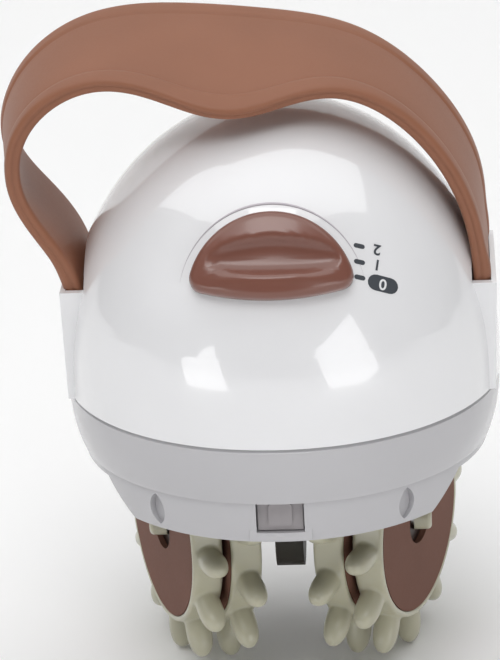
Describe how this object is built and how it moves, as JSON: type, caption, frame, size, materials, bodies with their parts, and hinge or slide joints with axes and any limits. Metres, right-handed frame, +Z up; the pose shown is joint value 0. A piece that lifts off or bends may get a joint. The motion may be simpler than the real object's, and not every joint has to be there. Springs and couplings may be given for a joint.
{
  "type": "handheld massager",
  "caption": "Dome-shaped hand-held massager with a soft hand strap, a slide switch and oblique finger wheels turned by an inner gear motor.",
  "frame": {"origin": "centre of the lower rim of the housing, in the plane of the rim's face", "axes": "+Z up through the dome, -Z out of the wheel bay; X along the wheel shaft; -Y is the front with the switch"},
  "size_m": [0.1429, 0.125, 0.1938],
  "materials": {
    "shell": "gloss",
    "base": "satin gloss",
    "latch": "satin",
    "well": "satin",
    "steel": "satin",
    "strap": "soft matt",
    "knob": "soft matt",
    "dark": "matt",
    "board": "satin",
    "brass": "satin",
    "gear": "satin",
    "cream": "satin",
    "hub": "satin",
    "disc": "satin",
    "cell": "gloss"
  },
  "bodies": {
    "housing": {"dome_shell": "shell", "battery_door": "shell", "battery_door_screw": "steel", "base_ring": "base", "bottom_bowl": "base", "well_cover": "well", "housing_screws": "steel", "hand_strap": "strap", "strap_pins": "steel", "switch_case": "dark", "circuit_board": "board", "board_screws": "steel", "gearbox_right": "well", "gearbox_left": "well", "gearbox_screws": "steel", "gear_axles": "steel", "motor_can": "steel", "motor_magnets": "dark", "motor_end_cap": "dark", "motor_screws": "steel", "shaft_bushes": "brass", "battery_cells": "cell", "battery_cradle": "dark", "contact_plates": "brass", "contact_springs": "steel"},
    "knob": {"switch_knob": "knob"},
    "switch_lever": {"switch_lever": "dark"},
    "latch": {"release_latch": "latch"},
    "shaft": {"roller_shaft": "steel", "shaft_collars": "well", "shaft_end_caps": "cream", "final_gear": "gear", "finger_ring_outer_left": "cream", "hub_outer_left": "hub", "cover_disc_outer_left": "disc", "finger_ring_inner_left": "cream", "hub_inner_left": "hub", "cover_disc_inner_left": "disc", "finger_ring_inner_right": "cream", "hub_inner_right": "hub", "cover_disc_inner_right": "disc", "finger_ring_outer_right": "cream", "hub_outer_right": "hub", "cover_disc_outer_right": "disc"},
    "idler_lower": {"idler_gear_lower": "gear"},
    "idler_upper": {"idler_gear_upper": "gear"},
    "compound": {"compound_gear": "gear"},
    "reduction": {"reduction_gear": "gear"},
    "motor_rotor": {"motor_armature": "steel", "motor_pinion": "brass"}
  },
  "joints": [
    {"name": "knob_slide", "type": "hinge", "parent": "housing", "child": "knob", "pos_m": [0, 0.01371, 0.04118], "axis": [-1, 0, 0], "range_deg": [0, 6.25]},
    {"name": "lever_slide", "type": "slide", "parent": "housing", "child": "switch_lever", "axis": [0, 0.5393, 0.8421], "range_m": [0, 0.0076]},
    {"name": "latch_press", "type": "slide", "parent": "housing", "child": "latch", "axis": [0, 1, 0], "range_m": [0, 0.0012], "stiffness_N_per_m": 600, "springref_m": -0.0006},
    {"name": "shaft_spin", "type": "hinge", "parent": "housing", "child": "shaft", "pos_m": [0, 0, -0.0176], "axis": [1, 0, 0], "continuous": true},
    {"name": "idler_lower_spin", "type": "hinge", "parent": "housing", "child": "idler_lower", "pos_m": [0, 0, 0.004], "axis": [1, 0, 0], "continuous": true},
    {"name": "idler_upper_spin", "type": "hinge", "parent": "housing", "child": "idler_upper", "pos_m": [0, 0, 0.0248], "axis": [1, 0, 0], "continuous": true},
    {"name": "compound_spin", "type": "hinge", "parent": "housing", "child": "compound", "pos_m": [0, 0, 0.0408], "axis": [1, 0, 0], "continuous": true},
    {"name": "reduction_spin", "type": "hinge", "parent": "housing", "child": "reduction", "pos_m": [0, 0.012, 0.0498], "axis": [1, 0, 0], "continuous": true},
    {"name": "motor_spin", "type": "hinge", "parent": "housing", "child": "motor_rotor", "pos_m": [0, 0.003, 0.0618], "axis": [1, 0, 0], "continuous": true}
  ],
  "couplings": [
    {"joint": "lever_slide", "follows": "knob_slide", "m_per_rad": 0.068627},
    {"joint": "idler_lower_spin", "follows": "shaft_spin", "ratio": -1.0769},
    {"joint": "idler_upper_spin", "follows": "shaft_spin", "ratio": 1.0769},
    {"joint": "compound_spin", "follows": "shaft_spin", "ratio": -2},
    {"joint": "reduction_spin", "follows": "shaft_spin", "ratio": 8},
    {"joint": "motor_spin", "follows": "shaft_spin", "ratio": -32}
  ]
}
